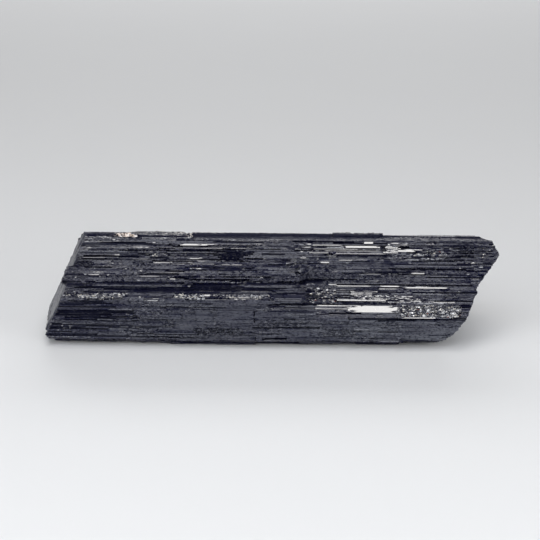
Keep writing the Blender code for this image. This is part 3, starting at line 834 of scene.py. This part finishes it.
crystal_mesh = bpy.data.meshes.new("crystal")
crystal_mesh.from_pydata(vertices.tolist(), [], quads.tolist() + left_faces + right_faces)
for name in FINISH:
    on_ends = np.full(len(left_points) + len(right_points), BROKEN_FINISH.get(name, 0.0))
    values = np.concatenate([np.array(finish[name]).ravel(), on_ends])
    layer = crystal_mesh.attributes.new(name, "FLOAT", "POINT")
    layer.data.foreach_set("value", values.astype(np.float32))
crystal_mesh.validate(verbose=False)
crystal_mesh.shade_smooth()
crystal_mesh.set_sharp_from_angle(angle=SHARP_ANGLE)


def linked(name, data):
    """A new object, linked to the scene."""
    made = bpy.data.objects.new(name, data)
    bpy.context.scene.collection.objects.link(made)
    return made


crystal = linked("crystal", crystal_mesh)


class Wire:
    """A socket of a material. Arithmetic on it adds Math nodes, and node() adds any other node."""
    def __init__(self, tree, socket=None):
        self.tree = tree
        self.socket = socket

    def node(self, kind, settings=None, inputs=None, output=0):
        made = self.tree.nodes.new(kind)
        for name, value in (settings or {}).items():
            setattr(made, name, value)
        for name, value in (inputs or {}).items():
            if isinstance(value, Wire):
                self.tree.links.new(value.socket, made.inputs[name])
            else:
                made.inputs[name].default_value = value
        return Wire(self.tree, made.outputs[output] if made.outputs else None)

    def math(self, operation, *values):
        return self.node("ShaderNodeMath", {"operation": operation}, dict(enumerate(values)))

    def __add__(self, other):
        return self.math("ADD", self, other)

    def __radd__(self, other):
        return self.math("ADD", other, self)

    def __sub__(self, other):
        return self.math("SUBTRACT", self, other)

    def __rsub__(self, other):
        return self.math("SUBTRACT", other, self)

    def __mul__(self, other):
        return self.math("MULTIPLY", self, other)

    def __rmul__(self, other):
        return self.math("MULTIPLY", other, self)

    def clamped(self, low, high):
        return self.node("ShaderNodeClamp", None, {"Value": self, "Min": low, "Max": high})


def new_material(name):
    """A material that has no nodes yet, and a wire to start from."""
    material = bpy.data.materials.new(name)
    material.use_nodes = True
    material.node_tree.nodes.clear()
    return material, Wire(material.node_tree)


def attribute(wire, name):
    """An attribute of the mesh, as a number."""
    return wire.node("ShaderNodeAttribute", {"attribute_name": name}, None, "Fac")


def stretched_noise(wire, along, across, detail=2.0, roughness=0.5):
    """Noise whose grains are this long along the crystal and this wide across it, in millimetres."""
    place = wire.node("ShaderNodeTexCoord", None, None, "Object")
    scale = (1 / (along * MM), 1 / (across * MM), 1 / (across * MM))
    mapped = wire.node("ShaderNodeMapping", None, {"Vector": place, "Scale": scale})
    return wire.node("ShaderNodeTexNoise", None,
                     {"Vector": mapped, "Scale": 1.0, "Detail": detail, "Roughness": roughness}, "Fac")


def mixed(wire, share, first, second):
    """A colour between two others."""
    return wire.node("ShaderNodeMix", {"data_type": "RGBA"}, {0: share, 6: first, 7: second}, 2)


# The stone's own colours, the dust of crushed tourmaline on worn places, and the pale coating, which is
# partly a real coat and partly painted highlight on facets that glint.
BLACK = (0.0041, 0.0055, 0.0265, 1.0)
BROWNISH = (0.0088, 0.0088, 0.0245, 1.0)
# A near-black for the painted shade in crevices and fine pits.
PAINTED_SHADE_COLOUR = (0.0012, 0.0014, 0.0056, 1.0)
WORN = (0.083, 0.089, 0.112, 1.0)
# Colours of the pale coating. Where it lies on glinting facets it is painted highlight.
PALE = (0.70, 0.69, 0.67, 1.0)
WARM = (0.86, 0.64, 0.50, 1.0)
STONE_IOR = 1.64

# Bump: its strength, and its depth in millimetres. Gloss: the thin clear skin of a fresh facet.
BUMP_STRENGTH, BUMP_DEPTH = 0.7, 0.14
GLOSS_IOR, GLOSS_ROUGHNESS = 2.2, 0.12

# Dust lies unevenly on the worn places, and the pale coating, partly painted highlight, breaks up into
# crumbs. Roughness and bump are damped by the grain, which is low on fresh facets. Where a facet has
# gloss it has patches of clear skin. Crevices and fine pits get painted shade: a near-black matt shader
# is mixed in.
tourmaline, wire = new_material("black_tourmaline")
hair = stretched_noise(wire, 4.5, 0.42)
strands = stretched_noise(wire, 13.0, 1.0)
crumbs = stretched_noise(wire, 0.9, 0.45, roughness=0.6)
blotches = stretched_noise(wire, 12.0, 4.0)
flour = stretched_noise(wire, 0.8, 0.5, roughness=0.7)
grain = attribute(wire, "grain")

unevenly = (0.4 + blotches + (strands - 0.5) * 2.0 + (hair - 0.5) * 2.2
            + (crumbs - 0.5) * 1.4 + (flour - 0.5) * 3.6)
worn = (attribute(wire, "wear") * unevenly).clamped(0.0, 1.0)
# The pale coating is partly real and partly painted highlight on facets that glint.
coat_and_highlight = attribute(wire, "pale")
coat_and_highlight_mask = ((crumbs + coat_and_highlight * 0.6 - 0.80) * 12.0).clamped(0.0, 1.0) * (coat_and_highlight * 20.0).clamped(0.0, 1.0)
colour = mixed(wire, worn, mixed(wire, blotches, BLACK, BROWNISH), WORN)
colour = mixed(wire, coat_and_highlight_mask * 0.9, colour, mixed(wire, attribute(wire, "warm"), PALE, WARM))

surface_roughness = (attribute(wire, "rough")
                     + ((hair - 0.5) * 0.30 + (blotches - 0.5) * 0.25) * grain).clamped(0.08, 0.8)
chipped = attribute(wire, "chips") * 0.7 + 0.4
height = (hair * 0.5 + strands * 0.6 + flour * 0.7 + crumbs * chipped) * grain
bumpy = wire.node("ShaderNodeBump", None,
                  {"Strength": BUMP_STRENGTH, "Distance": BUMP_DEPTH * MM, "Height": height})
gloss = attribute(wire, "gloss")
skin = (gloss * 2.0 + (strands - 0.5) * 2.0 - 0.55).clamped(0.0, 1.0) * (gloss * 20.0).clamped(0.0, 1.0)
stone = wire.node("ShaderNodeBsdfPrincipled", None, {
    "Base Color": colour, "Roughness": surface_roughness, "IOR": STONE_IOR, "Normal": bumpy,
    "Coat Weight": skin, "Coat IOR": GLOSS_IOR, "Coat Roughness": GLOSS_ROUGHNESS})

# Painted shade: a near-black matt shader is mixed in over dark grooves and marks, and in fine pits drawn by
# noise.
shade_shader = wire.node("ShaderNodeBsdfDiffuse", None, {"Color": PAINTED_SHADE_COLOUR})
pit_shade = ((0.46 - flour) * 8.0).clamped(0.0, 0.6) * grain
painted_shade_share = (attribute(wire, "painted_shade") * (1.0 + (hair - 0.5) * 1.5) + pit_shade).clamped(0.0, 0.96)
shader = wire.node("ShaderNodeMixShader", None, {0: painted_shade_share, 1: stone, 2: shade_shader})
wire.node("ShaderNodeOutputMaterial", None, {"Surface": shader})
crystal_mesh.materials.append(tourmaline)

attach(crystal, "root")
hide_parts("tourmaline_crystal")

# ----------------------------------------------------------------------
# The grains. They are small angular grains of mica and feldspar, and chips of the tourmaline itself,
# which stick as a crust where the shelf and the slope are broken open. Each one is partly sunk in. The
# cream and white ones also stand in for the sparkle of glinting facets: painted highlights.

GRAIN_AREAS = (
    # side, low and high share of it, x from, x to, how crowded, size, share of pale ones
    ("lower_head", 0.20, 1.10, -67, -62, 1.5, 0.28, 0.5),
    ("lower_head", 0.14, 0.95, -61.6, -54.8, 1.4, 0.30, 0.4),
    ("lower_head", 0.05, 0.90, -55.2, -46.1, 1.4, 0.31, 0.4),
    ("lower_head", 0, 0.12, -44.4, -33.1, 0.8, 0.22, 0.6),
    ("lower_head", 0.14, 0.90, -30.3, -20.4, 1.8, 0.30, 0.5),
    ("lower_head", 0.20, 0.80, -18, 0.4, 1.3, 0.25, 0.35),
    ("shelf_back", 0.06, 1.10, 12.7, 21.5, 1.5, 0.22, 0.45),
    ("lower_head", 0.15, 1, 42.2, 61.4, 3.2, 0.22, 0.36),
    ("recess_head", 0.60, 1, 67, 72.5, 0.6, 0.2, 0.2),
    ("recess_head", 0.10, 0.40, -65, -58, 0.4, 0.22, 0.3),
    ("recess_head", 0.72, 0.82, 47, 55, 1.6, 0.24, 0.5),
    ("recess_head", 0.60, 0.73, -38.6, -33.4, 1.5, 0.2, 0.45),
)
GRAINS_PER_CROWDING = 1.8

# A grain is an octahedron, stretched, made uneven and turned at random, in shares of its own size.
OCTAHEDRON = np.array(((1, 0, 0), (-1, 0, 0), (0, 1, 0), (0, -1, 0), (0, 0, 1), (0, 0, -1)), float)
OCTAHEDRON_FACES = np.array(
    ((0, 2, 4), (2, 1, 4), (1, 3, 4), (3, 0, 4), (2, 0, 5), (1, 2, 5), (3, 1, 5), (0, 3, 5)))
GRAIN_SHAPE, GRAIN_SHAPE_SPREAD = (1.9, 0.9, 0.5), (0.6, 1.4)
GRAIN_SIZE_SPREAD, GRAIN_TURN, GRAIN_UNEVEN = (0.3, 1.15), 0.9, 0.16

# Cream and white grains are partly mica and feldspar and partly painted highlight, standing in for glints.
GRAIN_COLOURS = {
    "cream": (0.78, 0.74, 0.67),
    "white": (0.88, 0.87, 0.85),
    "grey": (0.16, 0.17, 0.19),
    "dark": (0.015, 0.016, 0.024),
    "rust": (0.32, 0.08, 0.05),
}
CREAM_SHARE, GREY_SHARE, RUST_SHARE = 0.6, 0.15, 0.03
GRAIN_SHADE = (0.6, 1.15)
HEIGHT_STEPS = 9


def surface_point(place, x):
    """A point of the crystal's surface, in metres."""
    half = int(x > CHANGE_MIDDLE)
    nearest_strip = int(np.argmin([abs((s.low[half] + s.high[half]) / 2 - place) for s in strips]))
    lower, upper = grid[2 * nearest_strip], grid[2 * nearest_strip + 1]
    nearest = int(np.clip(np.searchsorted(lower[:, 0], (x + CENTRING[0]) * MM), 1, n_columns - 2))
    across = rng.uniform(0.0, 1.0)
    return lower[nearest] * (1 - across) + upper[nearest] * across


def kind_of_grain(pale_share, x):
    """The kind of a grain, drawn at random. Rusty ones are found only on the right half."""
    draw = rng.uniform()
    if draw < pale_share:
        return "cream" if rng.uniform() < CREAM_SHARE else "white"
    if draw < pale_share + GREY_SHARE:
        return "grey"
    return "rust" if draw > 1 - RUST_SHARE and x > 0 else "dark"


grain_points, grain_faces, grain_colours = [], [], []
for side, *shares, x_from, x_to, crowding, size, pale_share in GRAIN_AREAS:
    low, high = (at(side, share) for share in shares)
    section = SECTION_RIGHT if x_from > CHANGE_MIDDLE - 1 else SECTION_LEFT
    steps = [section_point(section, place) for place in np.linspace(low, high, HEIGHT_STEPS)]
    height = float(np.linalg.norm(np.diff(steps, axis=0), axis=1).sum())
    for _ in range(int(GRAINS_PER_CROWDING * crowding * height * (x_to - x_from))):
        place, x = rng.uniform(low, high), rng.uniform(x_from, x_to)
        point = surface_point(place, x)
        radius = size * rng.uniform(*GRAIN_SIZE_SPREAD) * MM
        shape = rng.uniform(*GRAIN_SHAPE_SPREAD, 3) * GRAIN_SHAPE
        turn = np.array(Matrix.Rotation(rng.uniform(-GRAIN_TURN, GRAIN_TURN), 3, Vector(rng.normal(0, 1, 3))))
        uneven = OCTAHEDRON * shape + rng.normal(0, GRAIN_UNEVEN, OCTAHEDRON.shape)
        corners = np.clip(uneven @ turn.T * radius + point, np.array(cad_low), np.array(cad_high))
        grain_faces.append(OCTAHEDRON_FACES + len(OCTAHEDRON) * len(grain_points))
        grain_points.append(corners)
        kind = kind_of_grain(pale_share, x)
        shade = rng.uniform(*GRAIN_SHADE)
        grain_colours.append([min(1.0, c * shade) for c in GRAIN_COLOURS[kind]] + [1.0])

grain_mesh = bpy.data.meshes.new("grains")
grain_mesh.from_pydata(np.vstack(grain_points).tolist(), [], np.vstack(grain_faces).tolist())
layer = grain_mesh.color_attributes.new("grain_colour", "FLOAT_COLOR", "CORNER")
corner_colours = np.repeat(np.array(grain_colours, dtype=np.float32), OCTAHEDRON_FACES.size, axis=0)
layer.data.foreach_set("color", corner_colours.ravel())
grains = linked("grains", grain_mesh)

DIMMED = (0.45, 0.43, 0.42, 1.0)
GRAIN_IOR = 1.55
GRAIN_BUMP_STRENGTH, GRAIN_BUMP_DEPTH = 0.3, 0.1

mica_feldspar_and_painted_glints, wire = new_material("mica_feldspar_and_painted_glints")
speckle = stretched_noise(wire, 0.2, 0.2)
own_colour = wire.node("ShaderNodeAttribute", {"attribute_name": "grain_colour"}, None, "Color")
dimmed = wire.node("ShaderNodeMix", {"data_type": "RGBA", "blend_type": "MULTIPLY"},
                   {0: (speckle * 2.0 - 0.9).clamped(0.0, 0.8), 6: own_colour, 7: DIMMED}, 2)
bumpy = wire.node("ShaderNodeBump", None, {
    "Strength": GRAIN_BUMP_STRENGTH, "Distance": GRAIN_BUMP_DEPTH * MM, "Height": speckle})
shader = wire.node("ShaderNodeBsdfPrincipled", None, {
    "Base Color": dimmed, "Roughness": (speckle * 0.5 + 0.1).clamped(0.1, 0.7), "IOR": GRAIN_IOR,
    "Normal": bumpy})
wire.node("ShaderNodeOutputMaterial", None, {"Surface": shader})
grain_mesh.materials.append(mica_feldspar_and_painted_glints)

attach(grains, "root")

# ----------------------------------------------------------------------
# The studio. It is a pale seamless floor of matt card under faint surroundings. Softboxes stand over
# it, in front, at both sides and far behind, and a long lens looks a little down at the crystal.

FLOOR_SIZE = 6.0
FLOOR_COLOUR, FLOOR_CLOUDED, FLOOR_CLOUD = (0.72, 0.725, 0.735, 1.0), 0.985, 60.0
FLOOR_ROUGHNESS, FLOOR_SHINE = 0.85, 0.2

half = FLOOR_SIZE / 2
floor_mesh = bpy.data.meshes.new("floor")
floor_corners = [(-half, -half, 0), (half, -half, 0), (half, half, 0), (-half, half, 0)]
floor_mesh.from_pydata(floor_corners, [], [(0, 1, 2, 3)])
floor = linked("floor", floor_mesh)
floor_material, wire = new_material("pale_floor")
clouded = tuple(c * FLOOR_CLOUDED for c in FLOOR_COLOUR[:3]) + (1.0,)
floor_colour = mixed(wire, stretched_noise(wire, FLOOR_CLOUD, FLOOR_CLOUD), FLOOR_COLOUR, clouded)
shader = wire.node("ShaderNodeBsdfPrincipled", None, {
    "Base Color": floor_colour, "Roughness": FLOOR_ROUGHNESS, "Specular IOR Level": FLOOR_SHINE})
wire.node("ShaderNodeOutputMaterial", None, {"Surface": shader})
floor_mesh.materials.append(floor_material)

SURROUNDINGS_COLOUR, SURROUNDINGS_STRENGTH = (0.90, 0.95, 1.0, 1.0), 0.055
world = bpy.data.worlds.new("studio")
bpy.context.scene.world = world
world.use_nodes = True
background = world.node_tree.nodes["Background"]
background.inputs["Color"].default_value = SURROUNDINGS_COLOUR
background.inputs["Strength"].default_value = SURROUNDINGS_STRENGTH

WARM_LIGHT, COOL_LIGHT, WHITE_LIGHT = (1.0, 0.98, 0.95), (0.95, 0.97, 1.0), (1.0, 1.0, 1.0)
SOFTBOXES = {
    # place, what it is aimed at, width, depth, radiance, colour
    "overhead": ((-0.03, -0.02, 0.85), (-0.03, 0.0, 0.01), 0.50, 0.22, 4.3, WARM_LIGHT),
    "ceiling_panel": ((-0.05, -0.26, 0.49), (0, 0, 0.02), 0.60, 0.14, 3.1, COOL_LIGHT),
    "front_panel": ((-0.05, -0.475, 0.40), (0, 0, 0.02), 0.70, 0.18, 3.0, COOL_LIGHT),
    "floor_light_left": ((-0.36, -0.36, 0.16), (0, -0.16, 0.0), 0.24, 0.16, 7.0, WHITE_LIGHT),
    "floor_light_right": ((0.36, -0.36, 0.16), (0, -0.16, 0.0), 0.24, 0.16, 8.0, WHITE_LIGHT),
    "side_left": ((-0.60, 0.0, 0.30), (-0.08, 0.0, 0.0), 0.40, 0.30, 0.9, WHITE_LIGHT),
    "side_right": ((0.60, 0.0, 0.30), (0.08, 0.0, 0.0), 0.40, 0.30, 1.1, WHITE_LIGHT),
    "back_light": ((0.0, 1.25, 0.75), (0, 0.9, 0.0), 1.4, 0.5, 5.0, WHITE_LIGHT),
}
for name, (place, target, width, depth, radiance, light_colour) in SOFTBOXES.items():
    data = bpy.data.lights.new(name, "AREA")
    data.shape = "RECTANGLE"
    data.size, data.size_y = width, depth
    data.energy = radiance * math.pi * width * depth
    data.color = light_colour
    light = linked(name, data)
    light.location = place
    light.rotation_euler = (Vector(target) - Vector(place)).to_track_quat("-Z", "Y").to_euler()
    light.visible_camera = False

CAMERA_TARGET = Vector((*CENTRING, 20.9)) * MM
CAMERA_AZIMUTH, CAMERA_ELEVATION = math.radians(1.6), math.radians(20.0)
CAMERA_DISTANCE, CAMERA_LENS, CAMERA_SENSOR = 0.520, 105.3, 36.0
camera_data = bpy.data.cameras.new("camera")
camera_data.sensor_width = CAMERA_SENSOR
camera_data.lens = CAMERA_LENS
camera = linked("camera", camera_data)
back = Vector((math.sin(CAMERA_AZIMUTH) * math.cos(CAMERA_ELEVATION),
               -math.cos(CAMERA_AZIMUTH) * math.cos(CAMERA_ELEVATION), math.sin(CAMERA_ELEVATION)))
camera.location = CAMERA_TARGET + back * CAMERA_DISTANCE
camera.rotation_euler = back.to_track_quat("Z", "Y").to_euler()
bpy.context.scene.camera = camera

bpy.context.scene.view_settings.view_transform = "Standard"
